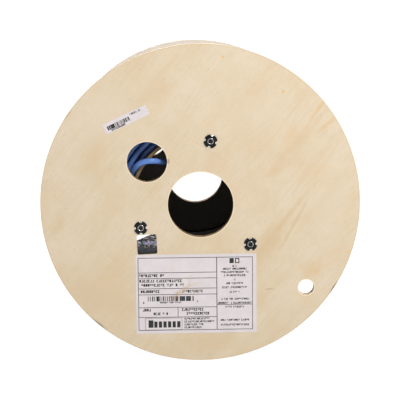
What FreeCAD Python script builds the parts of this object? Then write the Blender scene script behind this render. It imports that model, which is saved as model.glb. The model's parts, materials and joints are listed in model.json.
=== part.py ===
# Plywood cable reel: two round flanges on a board tube, held together by three tie bolts
# in tee nuts, wound with one long data cable whose inner end comes out through a start hole.
#
# The reel stands on its rims with its axis along Y and Z up. The origin is on the axis, half
# way between the flanges. The front flange, which carries the tee nuts and labels, faces -Y.
# Pieces are drawn as seen from the front: local X is right, local Y is up (row Z) and local Z
# points out of the front (row -Y). The quarter turn FRONT_VIEW brings them into the row.
import FreeCAD, Part
import math
import os

import Sketcher

Vector = FreeCAD.Vector

SIZES = [
    ("flange_diameter", 400),
    ("flange_thickness", 12),
    ("rim_round", 0.8),
    ("traverse", 290),
    ("arbor_diameter", 82),
    ("start_hole_diameter", 50),
    ("start_hole_inset", 0.9),
    ("start_hole_angle", 141.1),
    ("drive_hole_diameter", 20),
    ("drive_hole_circle_radius", 170.8),
    ("drive_hole_angle", -38.5),
    ("drum_diameter", 177.4),
    ("drum_wall", 4),
    ("groove_depth", 3),
    ("groove_clearance", 0.2),
    ("bolt_inset", 4.2),
    ("first_bolt_angle", 81.2),
    ("bolt_diameter", 6),
    ("bolt_clearance", 0.3),
    ("bolt_end_recess", 2),
    ("bolt_head_flats", 10),
    ("bolt_head_height", 4),
    ("washer_diameter", 18),
    ("washer_thickness", 1.6),
    ("nut_plate_diameter", 17.4),
    ("nut_plate_thickness", 1.2),
    ("nut_barrel_diameter", 8.6),
    ("nut_barrel_length", 9),
    ("prong_count", 4),
    ("prong_width", 3),
    ("prong_thickness", 1.2),
    ("prong_length", 6.5),
    ("prong_circle_radius", 6.4),
    ("notch_gap", 0.25),
    ("shipping_label_width", 152.4),
    ("shipping_label_height", 101.6),
    ("shipping_label_x", -5.5),
    ("shipping_label_up", -113.7),
    ("shipping_label_tilt", 0.5),
    ("serial_label_width", 59),
    ("serial_label_height", 13),
    ("serial_label_x", -92.4),
    ("serial_label_up", 106.7),
    ("serial_label_tilt", 25.4),
    ("seal_width", 24.8),
    ("seal_height", 24.8),
    ("seal_x", -67.3),
    ("seal_up", -50.1),
    ("seal_tilt", 3),
    ("seal_corner", 2),
    ("paper_thickness", 0.2),
    ("cable_diameter", 7.3),
    ("layer_pitch", 7),
    ("layer_count", 10),
    ("last_layer_share", 0.93),
    ("outer_end_start_angle", 105),
    ("outer_end_sweep", 45),
    ("tape_width", 48),
    ("tape_thickness", 0.2),
    ("tape_start_angle", 120),
    ("tape_sweep", 26),
    ("core_diameter", 1),
    ("core_length", 5),
    ("core_circle_radius", 1.9),
]

# Turn of each tee nut in its own hole, in degrees, as it was driven in.
NUT_TURNS = (-15, 5, 3)
BOLT_COUNT = 3
CORE_COUNT = 8

# Free inner end of the cable, from the winding's first turn, over the drum tube's end in the
# start hole and round inside the drum to its floor: row X, distance behind the front face, Z.
TAIL_ROUTE = [
    (-90.4, 20.4, 22.4),
    (-88.2, 18.6, 31.0),
    (-85.3, 15.5, 39.2),
    (-81.2, 9.9, 46.6),
    (-75.2, 5.2, 51.9),
    (-67.2, 3.8, 54.6),
    (-58.8, 5.0, 55.8),
    (-50.6, 9.8, 55.2),
    (-43.0, 17.2, 54.2),
    (-34.6, 24.6, 53.4),
    (-20.0, 34.4, 52.0),
    (2.5, 46.6, 54.2),
    (27.0, 60.0, 51.2),
    (48.5, 72.5, 37.4),
    (61.6, 85.0, 15.0),
    (62.6, 97.5, -11.2),
    (52.0, 110.5, -36.0),
    (31.8, 122.0, -55.4),
    (6.4, 132.0, -68.0),
    (-20.4, 143.0, -72.6),
    (-46.0, 155.0, -64.0),
]

doc = FreeCAD.newDocument("cable_reel")
sheet = doc.addObject("Spreadsheet::Sheet", "Sizes")
for row, (alias, value) in enumerate(SIZES, start=1):
    sheet.set("A%d" % row, alias)
    sheet.set("B%d" % row, str(value))
    sheet.setAlias("B%d" % row, alias)
doc.recompute()

# Distances along the reel's axis and radii that several pieces share, as sheet expressions.
FRONT_VIEW = "rotation(vector(1; 0; 0); 90 deg)"
HALF_WIDTH = "(Sizes.traverse / 2 + Sizes.flange_thickness)"
FRONT_FACE = "(-%s)" % HALF_WIDTH
DRUM_RADIUS = "(Sizes.drum_diameter / 2)"
START_HOLE_CIRCLE = "(%s - Sizes.drum_wall / 2 - Sizes.start_hole_inset)" % DRUM_RADIUS
BOLT_CIRCLE = "(%s - Sizes.drum_wall - Sizes.bolt_inset)" % DRUM_RADIUS
LAST_LAYER_RADIUS = ("(%s + Sizes.cable_diameter / 2 + (Sizes.layer_count - 1) * Sizes.layer_pitch)"
                     % DRUM_RADIUS)
PACK_RADIUS = "(%s + Sizes.cable_diameter / 2)" % LAST_LAYER_RADIUS
STEP_RADIUS = "(%s - Sizes.cable_diameter / 2)" % LAST_LAYER_RADIUS
STEP_Y = "(Sizes.traverse * (0.5 - Sizes.last_layer_share))"

subparts = []


def size(expression):
    """Value of a sheet expression, for shapes that are worked out in code."""
    return float(getattr(sheet.evalExpression(expression), "Value", sheet.evalExpression(expression)))


def finished(obj, name):
    """Name an object as one piece of the reel."""
    obj.Label = name
    subparts.append(obj)
    return obj


def put(obj, x, y, z, turn="0"):
    """Stand a piece drawn in the front view at row x, y, z, turned about the reel's axis."""
    spin = "rotation(vector(0; 0; 1); (%s) * 1 deg)" % turn
    obj.setExpression("Placement", "placement(vector(%s; %s; %s); %s * %s)"
                      % (x, y, z, FRONT_VIEW, spin))


def put_flat(obj, x, y, z=0, turn="0"):
    """Place a helper shape within the front view, before its piece is turned into the row."""
    obj.setExpression("Placement", "placement(vector(%s; %s; %s); rotation(vector(0; 0; 1); (%s) * 1 deg))"
                      % (x, y, z, turn))


def plane_of(body, role):
    return next(f for f in body.Origin.OriginFeatures if f.Role == role)


def new_sketch(body, name, role="XY_Plane", offset="0"):
    sketch = body.newObject("Sketcher::SketchObject", name)
    sketch.AttachmentSupport = (plane_of(body, role), "")
    sketch.MapMode = "FlatFace"
    sketch.setExpression("AttachmentOffset.Base.z", offset)
    return sketch


def bind(sketch, kind, where, expression):
    """Add one dimension to a sketch, driven by a sheet expression."""
    index = sketch.addConstraint(Sketcher.Constraint(kind, *where, size(expression)))
    sketch.setExpression("Constraints[%d]" % index, expression)


def circle(sketch, radius, x="0", up="0"):
    """Circle of a bound radius whose centre is bound to the sketch's axes."""
    start = Vector(size(x), size(up), 0)
    geo = sketch.addGeometry(Part.Circle(start, Vector(0, 0, 1), size(radius)), False)
    bind(sketch, "Radius", (geo,), radius)
    if (x, up) == ("0", "0"):
        sketch.addConstraint(Sketcher.Constraint("Coincident", geo, 3, -1, 1))
        return
    bind(sketch, "DistanceX", (-1, 1, geo, 3), x)
    bind(sketch, "DistanceY", (-1, 1, geo, 3), up)


def outline(sketch, corners):
    """Closed outline whose corners are each bound to the sketch's axes."""
    points = [Vector(size(x), size(up), 0) for x, up in corners]
    first = sketch.GeometryCount
    for i, point in enumerate(points):
        sketch.addGeometry(Part.LineSegment(point, points[(i + 1) % len(points)]), False)
    for i, (x, up) in enumerate(corners):
        after = (i + 1) % len(corners)
        sketch.addConstraint(Sketcher.Constraint("Coincident", first + i, 2, first + after, 1))
        bind(sketch, "DistanceX", (-1, 1, first + i, 1), x)
        bind(sketch, "DistanceY", (-1, 1, first + i, 1), up)


def pad(body, sketch, length, reverse=False):
    feature = body.newObject("PartDesign::Pad", sketch.Name + "_pad")
    feature.Profile = sketch
    feature.Reversed = reverse
    feature.setExpression("Length", length)
    return feature


def pocket(body, sketch, depth):
    """Cut towards local +Z, into the board that lies above the sketch."""
    feature = body.newObject("PartDesign::Pocket", sketch.Name + "_pocket")
    feature.Profile = sketch
    feature.Reversed = True
    feature.setExpression("Length", depth)
    return feature


def revolve(body, sketch):
    """Turn an outline about the body's Z axis."""
    feature = body.newObject("PartDesign::Revolution", sketch.Name + "_turned")
    feature.Profile = sketch
    feature.ReferenceAxis = (plane_of(body, "Z_Axis"), [""])
    feature.Angle = 360
    return feature


def pattern(body, feature, count, name):
    """Repeat a feature evenly round the body's Z axis."""
    repeat = body.newObject("PartDesign::PolarPattern", name)
    repeat.Originals = [feature]
    repeat.Axis = (plane_of(body, "Z_Axis"), [""])
    repeat.Angle = 360
    repeat.Occurrences = count
    body.Tip = repeat
    return repeat


def polar(radius, angle):
    """The two expressions of a point given by its radius and clock angle in degrees."""
    return ("(%s * cos((%s) * 1 deg))" % (radius, angle), "(%s * sin((%s) * 1 deg))" % (radius, angle))


def bolt_angle(number):
    return "(Sizes.first_bolt_angle - %g)" % (360 / BOLT_COUNT * number)


def bolt_centre(number):
    return polar(BOLT_CIRCLE, bolt_angle(number))


def make_flange_board(name, bolt_hole_diameter, groove_at):
    """Round board with its bores and the tube's groove, from local Z 0 up to its thickness.

    groove_at is the local height at which the groove starts."""
    body = doc.addObject("PartDesign::Body", name)
    disc = new_sketch(body, name + "_disc")
    circle(disc, "Sizes.flange_diameter / 2")
    circle(disc, "Sizes.arbor_diameter / 2")
    board = pad(body, disc, "Sizes.flange_thickness")
    doc.recompute()
    rims = ["Edge%d" % (i + 1) for i, edge in enumerate(board.Shape.Edges)
            if isinstance(edge.Curve, Part.Circle)
            and abs(edge.Curve.Radius - size("Sizes.flange_diameter / 2")) < 1e-6]
    arris = body.newObject("PartDesign::Fillet", name + "_rim_round")
    arris.Base = (board, rims)
    arris.setExpression("Radius", "Sizes.rim_round")
    groove = new_sketch(body, name + "_groove", offset=groove_at)
    circle(groove, DRUM_RADIUS + " + Sizes.groove_clearance")
    circle(groove, DRUM_RADIUS + " - Sizes.drum_wall - Sizes.groove_clearance")
    pocket(body, groove, "Sizes.groove_depth")
    holes = new_sketch(body, name + "_holes")
    circle(holes, "Sizes.start_hole_diameter / 2",
           *polar(START_HOLE_CIRCLE, "Sizes.start_hole_angle"))
    circle(holes, "Sizes.drive_hole_diameter / 2",
           *polar("Sizes.drive_hole_circle_radius", "Sizes.drive_hole_angle"))
    pocket(body, holes, "Sizes.flange_thickness")
    bolt_hole = new_sketch(body, name + "_bolt_hole")
    circle(bolt_hole, bolt_hole_diameter + " / 2", *bolt_centre(0))
    pattern(body, pocket(body, bolt_hole, "Sizes.flange_thickness"), BOLT_COUNT, name + "_bolt_holes")
    return body


def make_rear_flange():
    """Rear board: drawn from its outer face, so its groove is at the top of the drawing."""
    body = make_flange_board("rear_flange", "(Sizes.bolt_diameter + 2 * Sizes.bolt_clearance)",
                             "Sizes.flange_thickness - Sizes.groove_depth")
    put(finished(body, "rear_flange"), "0", HALF_WIDTH, "0")


def prong_slot(number, prong):
    """Block of one tee nut prong in the front view, from the board's outer face inwards."""
    slot = doc.addObject("Part::Box", "prong_slot_%d_%d" % (number + 1, prong + 1))
    slot.setExpression("Length", "Sizes.prong_thickness")
    slot.setExpression("Width", "Sizes.prong_width")
    slot.setExpression("Height", "Sizes.prong_length")
    turn = "%g + %g" % (NUT_TURNS[number], 360 / size("Sizes.prong_count") * prong)
    x, up = bolt_centre(number)
    radial = "(Sizes.prong_circle_radius - Sizes.prong_thickness / 2)"
    side = "(Sizes.prong_width / 2)"
    put_flat(slot, "%s + %s * cos((%s) * 1 deg) + %s * sin((%s) * 1 deg)" % (x, radial, turn, side, turn),
             "%s + %s * sin((%s) * 1 deg) - %s * cos((%s) * 1 deg)" % (up, radial, turn, side, turn),
             "Sizes.flange_thickness - Sizes.prong_length", turn)
    return slot


def make_front_flange():
    """Front board, with the slots that the tee nuts' prongs cut into its outer face."""
    body = make_flange_board("front_flange_board", "Sizes.nut_barrel_diameter", "0")
    slots = doc.addObject("Part::MultiFuse", "prong_slots")
    slots.Shapes = [prong_slot(number, prong) for number in range(BOLT_COUNT)
                    for prong in range(int(size("Sizes.prong_count")))]
    board = doc.addObject("Part::Cut", "front_flange")
    board.Base = body
    board.Tool = slots
    put(finished(board, "front_flange"), "0", "(-Sizes.traverse / 2)", "0")


def make_drum_tube():
    """Board tube between the flanges, seated in the groove of each."""
    body = doc.addObject("PartDesign::Body", "drum_tube")
    ring = new_sketch(body, "tube_ring", offset="-(Sizes.traverse / 2 + Sizes.groove_depth)")
    circle(ring, DRUM_RADIUS)
    circle(ring, DRUM_RADIUS + " - Sizes.drum_wall")
    pad(body, ring, "Sizes.traverse + 2 * Sizes.groove_depth")
    put(finished(body, "drum_tube"), "0", "0", "0")


def make_tee_nut(number):
    """Pronged tee nut: its plate lies on the front face and its barrel is sunk in the board."""
    name = "tee_nut_%d" % (number + 1)
    body = doc.addObject("PartDesign::Body", name)
    section = new_sketch(body, name + "_section", "XZ_Plane")
    bore = "Sizes.bolt_diameter / 2"
    outline(section, [(bore, "-Sizes.nut_barrel_length"),
                      ("Sizes.nut_barrel_diameter / 2", "-Sizes.nut_barrel_length"),
                      ("Sizes.nut_barrel_diameter / 2", "0"),
                      ("Sizes.nut_plate_diameter / 2", "0"),
                      ("Sizes.nut_plate_diameter / 2", "Sizes.nut_plate_thickness"),
                      (bore, "Sizes.nut_plate_thickness")])
    revolve(body, section)
    notch = new_sketch(body, name + "_notch")
    circle(notch, "Sizes.prong_width / 2", "Sizes.prong_circle_radius + Sizes.prong_thickness / 2"
           " + Sizes.notch_gap + Sizes.prong_width / 2", "0")
    cut = pocket(body, notch, "Sizes.nut_plate_thickness")
    count = int(size("Sizes.prong_count"))
    pattern(body, cut, count, name + "_notches")
    prong = new_sketch(body, name + "_prong")
    outline(prong, [("Sizes.prong_circle_radius + %d * Sizes.prong_thickness / 2" % radial,
                     "%d * Sizes.prong_width / 2" % side)
                    for radial, side in ((-1, -1), (1, -1), (1, 1), (-1, 1))])
    pattern(body, pad(body, prong, "Sizes.prong_length", reverse=True), count, name + "_prongs")
    x, up = bolt_centre(number)
    put(finished(body, name), x, FRONT_FACE, up, "%g" % NUT_TURNS[number])


def make_tie_bolt(number):
    """Hex head bolt through the whole reel, from the rear washer into the tee nut's barrel."""
    name = "tie_bolt_%d" % (number + 1)
    head = doc.addObject("Part::Prism", name + "_head")
    head.Polygon = 6
    head.setExpression("Circumradius", "Sizes.bolt_head_flats / 2 / cos(30 deg)")
    head.setExpression("Height", "Sizes.bolt_head_height")
    put_flat(head, "0", "0", "-Sizes.bolt_head_height")
    shank = doc.addObject("Part::Cylinder", name + "_shank")
    shank.setExpression("Radius", "Sizes.bolt_diameter / 2")
    shank.setExpression("Height", "Sizes.washer_thickness + 2 * %s - Sizes.bolt_end_recess" % HALF_WIDTH)
    bolt = doc.addObject("Part::Fuse", name)
    bolt.Base = head
    bolt.Tool = shank
    x, up = bolt_centre(number)
    put(finished(bolt, name), x, HALF_WIDTH + " + Sizes.washer_thickness", up)


def make_bolt_washer(number):
    """Flat washer under a bolt's head, on the rear flange's outer face."""
    name = "bolt_washer_%d" % (number + 1)
    body = doc.addObject("PartDesign::Body", name)
    ring = new_sketch(body, name + "_ring")
    circle(ring, "Sizes.washer_diameter / 2")
    circle(ring, "Sizes.bolt_diameter / 2 + Sizes.bolt_clearance")
    pad(body, ring, "Sizes.washer_thickness", reverse=True)
    x, up = bolt_centre(number)
    put(finished(body, name), x, HALF_WIDTH, up)


def make_sticker(name, prefix, corner=None):
    """Flat printed sheet stuck on the front face, with rounded corners if corner is given."""
    sheet_name = name + "_sheet" if corner else name
    width, height = "Sizes.%s_width" % prefix, "Sizes.%s_height" % prefix
    body = doc.addObject("PartDesign::Body", sheet_name)
    face = new_sketch(body, sheet_name + "_face")
    outline(face, [("-%s / 2" % width, "-%s / 2" % height), ("%s / 2" % width, "-%s / 2" % height),
                   ("%s / 2" % width, "%s / 2" % height), ("-%s / 2" % width, "%s / 2" % height)])
    plate = pad(body, face, "Sizes.paper_thickness")
    if corner:
        doc.recompute()
        upright = ["Edge%d" % (i + 1) for i, edge in enumerate(plate.Shape.Edges)
                   if abs(edge.Vertexes[0].Z - edge.Vertexes[1].Z) > 1e-6]
        rounding = body.newObject("PartDesign::Fillet", name + "_corners")
        rounding.Base = (plate, upright)
        rounding.setExpression("Radius", corner)
    put(finished(body, name), "Sizes.%s_x" % prefix, FRONT_FACE, "Sizes.%s_up" % prefix,
        "Sizes.%s_tilt" % prefix)


def make_cable_winding():
    """The wound cable as one ring: full layers, and a last one that stops short of the front."""
    body = doc.addObject("PartDesign::Body", "cable_winding")
    section = new_sketch(body, "winding_section", "XZ_Plane")
    rear, front = "(-Sizes.traverse / 2)", "(Sizes.traverse / 2)"
    step = "(-%s)" % STEP_Y
    outline(section, [(DRUM_RADIUS, rear), (PACK_RADIUS, rear), (PACK_RADIUS, step),
                      (STEP_RADIUS, step), (STEP_RADIUS, front), (DRUM_RADIUS, front)])
    revolve(body, section)
    put(finished(body, "cable_winding"), "0", "0", "0")


def make_outer_end():
    """Last stretch of the outer layer, lying on the layer below and beside the turn before."""
    arc = doc.addObject("Part::Torus", "cable_outer_end")
    arc.setExpression("Radius1", LAST_LAYER_RADIUS)
    arc.setExpression("Radius2", "Sizes.cable_diameter / 2")
    arc.setExpression("Angle3", "Sizes.outer_end_sweep * 1 deg")
    put(finished(arc, "cable_outer_end"), "0", "%s - Sizes.cable_diameter / 2" % STEP_Y, "0",
        "Sizes.outer_end_start_angle")


def make_end_tape():
    """Strip of tape over the outer turns, which keeps the cable's outer end down."""
    blocks = []
    for name, radius in (("tape_outside", PACK_RADIUS + " + Sizes.tape_thickness"),
                         ("tape_inside", PACK_RADIUS)):
        block = doc.addObject("Part::Cylinder", name)
        block.setExpression("Radius", radius)
        block.setExpression("Height", "Sizes.tape_width")
        block.setExpression("Angle", "Sizes.tape_sweep * 1 deg")
        blocks.append(block)
    tape = doc.addObject("Part::Cut", "end_tape")
    tape.Base, tape.Tool = blocks
    put(finished(tape, "end_tape"), "0",
        "%s - Sizes.cable_diameter + Sizes.tape_width" % STEP_Y, "0", "Sizes.tape_start_angle")


def rounded_path(points):
    """Straight runs joined by tangent arcs, each as large as its two runs allow."""
    edges, start, radii = [], points[0], []
    for before, corner, after in zip(points, points[1:], points[2:]):
        shorter = 0.45 * min((corner - before).Length, (after - corner).Length)
        back = (before - corner).normalize()
        ahead = (after - corner).normalize()
        half_turn = (math.pi - back.getAngle(ahead)) / 2
        radius = shorter / math.tan(half_turn)
        radii.append(radius)
        middle = (back + ahead).normalize() * (radius / math.cos(half_turn) - radius)
        edges.append(Part.LineSegment(start, corner + back * shorter).toShape())
        edges.append(Part.Arc(corner + back * shorter, corner + middle, corner + ahead * shorter).toShape())
        start = corner + ahead * shorter
    edges.append(Part.LineSegment(start, points[-1]).toShape())
    print("tail arc radii, mm:", " ".join("%.0f" % radius for radius in radii))
    return Part.Wire(edges)


def make_cable_tail():
    """Free inner end of the cable: a plain tube along its route."""
    face_y = size(FRONT_FACE)
    points = [Vector(x, face_y + depth, up) for x, depth, up in TAIL_ROUTE]
    path = rounded_path(points)
    radius = size("Sizes.cable_diameter / 2")
    ring = Part.Wire(Part.Circle(points[0], points[1] - points[0], radius).toShape())
    tube = path.makePipeShell([ring], True, True)
    print("tail length %.1f mm, volume over section times length %.4f"
          % (path.Length, tube.Volume / (math.pi * radius ** 2 * path.Length)))
    tail = doc.addObject("Part::Feature", "cable_tail")
    tail.Shape = tube
    tail.Placement = FreeCAD.Placement()
    finished(tail, "cable_tail")
    return points[-1], (points[-1] - points[-2]).normalize()


def make_cores(name, end, direction):
    """Bare ends of the insulated conductors that stand out of a cut end of the jacket."""
    turn = FreeCAD.Rotation(Vector(0, 0, 1), direction)
    ring = size("Sizes.core_circle_radius")
    cores = []
    for i in range(CORE_COUNT):
        angle = 2 * math.pi * i / CORE_COUNT
        foot = Vector(ring * math.cos(angle), ring * math.sin(angle), 0)
        cores.append(Part.makeCylinder(size("Sizes.core_diameter / 2"), size("Sizes.core_length"), foot))
    group = doc.addObject("Part::Feature", name)
    group.Shape = Part.Compound(cores)
    group.Placement = FreeCAD.Placement(end, turn)
    finished(group, name)


def outer_end_cut():
    """Centre and outward direction of the cable's outer cut end."""
    angle = math.radians(size("Sizes.outer_end_start_angle + Sizes.outer_end_sweep"))
    radius = size(LAST_LAYER_RADIUS)
    y = size("%s - Sizes.cable_diameter / 2" % STEP_Y)
    return (Vector(radius * math.cos(angle), y, radius * math.sin(angle)),
            Vector(-math.sin(angle), 0, math.cos(angle)))


make_front_flange()
make_rear_flange()
make_drum_tube()
for bolt_number in range(BOLT_COUNT):
    make_tee_nut(bolt_number)
    make_tie_bolt(bolt_number)
    make_bolt_washer(bolt_number)
make_sticker("shipping_label", "shipping_label")
make_sticker("serial_label", "serial_label")
make_sticker("security_seal", "seal", corner="Sizes.seal_corner")
make_cable_winding()
make_outer_end()
make_end_tape()
make_cores("inner_end_cores", *make_cable_tail())
make_cores("outer_end_cores", *outer_end_cut())

doc.recompute()
for obj in doc.Objects:
    if {"Invalid", "Error"} & set(obj.State):
        raise RuntimeError("%s failed: %s" % (obj.Name, obj.State))
for piece in subparts:
    if piece.Shape.isNull() or not piece.Shape.isValid():
        raise RuntimeError("%s has no valid shape" % piece.Label)

os.makedirs("parts", exist_ok=True)
for piece in subparts:
    piece.Shape.exportStep(os.path.join("parts", piece.Label + ".step"))
print(len(subparts), "pieces written")
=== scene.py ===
"""Plywood cable reel on a pale floor: two boards, a board tube, tie bolts, labels and blue cable.

Lengths are in metres, but for the tables that are headed as millimetres. The reel stands on its
rims with its axis along Y and its labelled front board facing -Y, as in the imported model. Flat
work is drawn in a front view, with X to the right, Y up and Z out of the front, and stand() turns
it into the reel's frame.
"""

import json
import math
import random

import bpy
from mathutils import Matrix, Vector, noise


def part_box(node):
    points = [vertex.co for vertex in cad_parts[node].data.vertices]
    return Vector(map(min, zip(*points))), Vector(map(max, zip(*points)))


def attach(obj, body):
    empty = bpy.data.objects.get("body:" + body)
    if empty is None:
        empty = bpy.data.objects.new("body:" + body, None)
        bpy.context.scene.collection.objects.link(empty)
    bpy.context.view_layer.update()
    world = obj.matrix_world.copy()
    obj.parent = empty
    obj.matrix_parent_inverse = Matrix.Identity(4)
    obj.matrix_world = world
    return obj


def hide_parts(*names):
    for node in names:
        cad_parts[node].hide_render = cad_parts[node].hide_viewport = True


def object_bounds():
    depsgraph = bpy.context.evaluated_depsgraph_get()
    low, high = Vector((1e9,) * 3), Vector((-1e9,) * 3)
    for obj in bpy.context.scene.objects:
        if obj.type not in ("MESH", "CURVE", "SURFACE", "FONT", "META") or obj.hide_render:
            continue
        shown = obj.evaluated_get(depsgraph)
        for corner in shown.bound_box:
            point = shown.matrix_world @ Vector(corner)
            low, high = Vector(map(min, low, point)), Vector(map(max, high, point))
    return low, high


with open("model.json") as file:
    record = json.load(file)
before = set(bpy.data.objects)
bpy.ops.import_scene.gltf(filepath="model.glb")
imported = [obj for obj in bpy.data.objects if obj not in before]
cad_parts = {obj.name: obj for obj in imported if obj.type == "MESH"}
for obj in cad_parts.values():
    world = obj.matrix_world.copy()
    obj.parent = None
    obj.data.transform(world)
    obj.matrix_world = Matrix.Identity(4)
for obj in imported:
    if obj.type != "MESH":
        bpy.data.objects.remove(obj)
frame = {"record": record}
CAD_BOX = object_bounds()

bl_info = {
    "name": "Plywood Cable Reel",
    "version": (1, 0, 0),
    "blender": (4, 5, 0),
    "location": "View3D > Sidebar > Cable Reel",
    "description": "Builds a wound plywood cable reel around its packed model",
    "category": "Add Mesh",
}

MM = 0.001
BODY = "root"
FRONT_VIEW = Matrix.Rotation(math.radians(90), 4, "X")

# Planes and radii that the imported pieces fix.
FRONT_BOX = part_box("front_flange")
REAR_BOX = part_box("rear_flange")
TUBE_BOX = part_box("drum_tube")
WINDING_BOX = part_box("cable_winding")
OUTER_END_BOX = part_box("cable_outer_end")
TAPE_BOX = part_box("end_tape")
FRONT_FACE = FRONT_BOX[0].y
REAR_FACE = REAR_BOX[1].y
INNER_FRONT = FRONT_BOX[1].y
INNER_REAR = REAR_BOX[0].y
BOARD = INNER_FRONT - FRONT_FACE
FLANGE_RADIUS = FRONT_BOX[1].x
TUBE_RADIUS = TUBE_BOX[1].x
PACK_RADIUS = WINDING_BOX[1].x
MOUNTS = {mount["name"]: mount for mount in frame["record"]["mounts"]}
ARBOR_RADIUS = MOUNTS["arbor_bore"]["dims"]["r_mm"] * MM
DRIVE_RADIUS = MOUNTS["drive_hole_front"]["dims"]["r_mm"] * MM
DRIVE_X, _, DRIVE_Z = MOUNTS["drive_hole_front"]["pos_m"]
OUTER_END_Y = (OUTER_END_BOX[0].y + OUTER_END_BOX[1].y) / 2
OUTER_END_ANGLE = math.radians(105)

TUBE_WALL = 4 * MM
SPIRAL_PITCH = 110 * MM
GROOVE_DEPTH = 3 * MM
NUT_SEAT_RADIUS = 4.3 * MM
BOLT_HOLE_RADIUS = 3.3 * MM
WASHER_RADIUS = 9 * MM
CUT_OVER = 2 * MM  # how far a cutter stands past the piece that it cuts
EDGE_ANGLE = math.radians(35)  # edges sharper than this are broken
DENT_SEED = 1795118999  # noise_vector() is seeded from the clock unless it is given a seed


def middle(node):
    """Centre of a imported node's box."""
    low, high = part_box(node)
    return (low + high) / 2


NUT_PLACES = [middle("tee_nut_%d" % number) for number in (1, 2, 3)]
NUT_TURNS = (-15, 5, 3)

START_ANGLE = math.radians(141.1)
START_CIRCLE = 85.8 * MM
START_RADIUS = 25 * MM
START_X = START_CIRCLE * math.cos(START_ANGLE)
START_Z = START_CIRCLE * math.sin(START_ANGLE)

# Control points of the cable's free inner end: X, depth behind the front face and Z, millimetres.
TAIL_ROUTE = [
    (-90.4, 20.4, 22.4),
    (-88.2, 18.6, 31.0),
    (-85.3, 15.5, 39.2),
    (-81.2, 9.9, 46.6),
    (-75.2, 5.2, 51.9),
    (-67.2, 3.8, 54.6),
    (-59.4, 5.1, 54.9),
    (-52.2, 10.3, 53.4),
    (-45.2, 18.0, 52.0),
    (-37.4, 25.4, 51.0),
    (-22.0, 35.4, 50.6),
    (1.0, 46.8, 53.6),
    (25.5, 60.0, 50.4),
    (46.6, 72.5, 36.6),
    (58.8, 85.0, 14.6),
    (60.4, 96.6, -11.4),
    (53.0, 108.5, -38.0),
    (36.0, 119.5, -59.5),
    (9.2, 130.5, -71.8),
    (-19.5, 142.6, -73.6),
    (-46.0, 155.0, -64.0),
]


class ReelSizes(bpy.types.PropertyGroup):
    """Sizes that a user of the reel would change."""

    cable_diameter: bpy.props.FloatProperty(
        name="Cable diameter", description="Outside diameter of the cable's jacket",
        default=7.3 * MM, unit="LENGTH")
    loose_pitch: bpy.props.FloatProperty(
        name="Loose pitch",
        description="Radial distance between the first, loosely laid layers",
        default=8.4 * MM, unit="LENGTH")
    layer_count: bpy.props.IntProperty(
        name="Layers", description="Layers of cable on the drum", default=10)
    arris: bpy.props.FloatProperty(
        name="Arris", description="Width of the broken edges of the boards",
        default=0.8 * MM, unit="LENGTH")
    grain_angle: bpy.props.FloatProperty(
        name="Grain angle", description="Lean of the front board's face grain",
        default=math.radians(50), subtype="ANGLE")
    floor_size: bpy.props.FloatProperty(
        name="Floor size", description="Width of the studio floor", default=24.0, unit="LENGTH")


class ReelColours(bpy.types.PropertyGroup):
    """Base colours of the reel's finishes, scene linear."""

    plywood: bpy.props.FloatVectorProperty(
        name="Plywood", description="Pale face veneer", subtype="COLOR",
        default=(0.632, 0.524, 0.380))
    jacket: bpy.props.FloatVectorProperty(
        name="Jacket", description="Cable jacket", subtype="COLOR", default=(0.075, 0.17, 0.47))
    tube_board: bpy.props.FloatVectorProperty(
        name="Tube board", description="Wound board of the drum", subtype="COLOR",
        default=(0.17, 0.12, 0.065))
    paper: bpy.props.FloatVectorProperty(
        name="Label paper", description="Label stock", subtype="COLOR",
        default=(0.635, 0.582, 0.588))
    ink: bpy.props.FloatVectorProperty(
        name="Ink", description="Label printing", subtype="COLOR", default=(0.022, 0.021, 0.023))


# ---------------------------------------------------------------- finishes


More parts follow.
